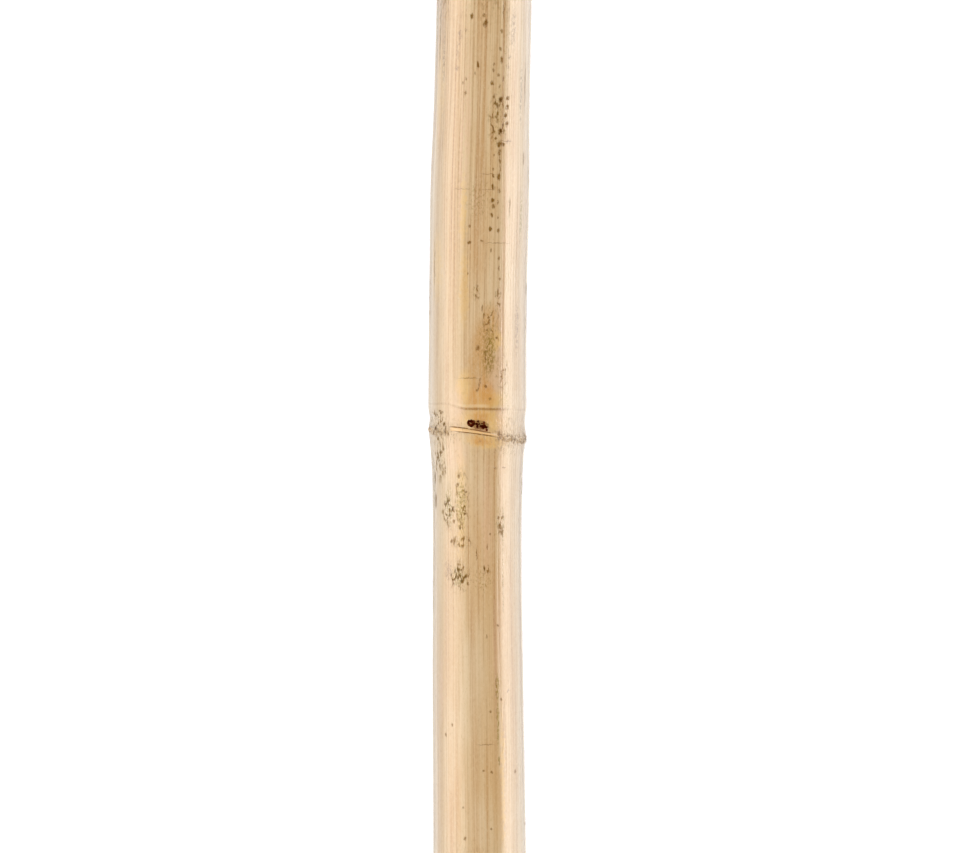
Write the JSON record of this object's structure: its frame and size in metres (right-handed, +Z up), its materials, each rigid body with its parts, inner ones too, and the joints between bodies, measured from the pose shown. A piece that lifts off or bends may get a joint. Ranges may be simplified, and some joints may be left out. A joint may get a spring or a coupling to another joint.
{
  "type": "bamboo cane",
  "caption": "Cut length of dry bamboo culm lying on its side, with ridged nodes, sheath and bud scars, and a hollow bore open at both cut ends.",
  "frame": {"origin": "bottom centre of the bounding box, on the surface that the cane lies on", "axes": "+Y along the cane, from its butt cut to its tip cut, +Z up, +X to the right for a viewer above who has the tip at the top"},
  "size_m": [0.04, 0.9, 0.0362],
  "materials": {
    "dry_culm": "waxy satin skin over straight grain"
  },
  "bodies": {
    "root": {"culm": "dry_culm"}
  },
  "joints": []
}
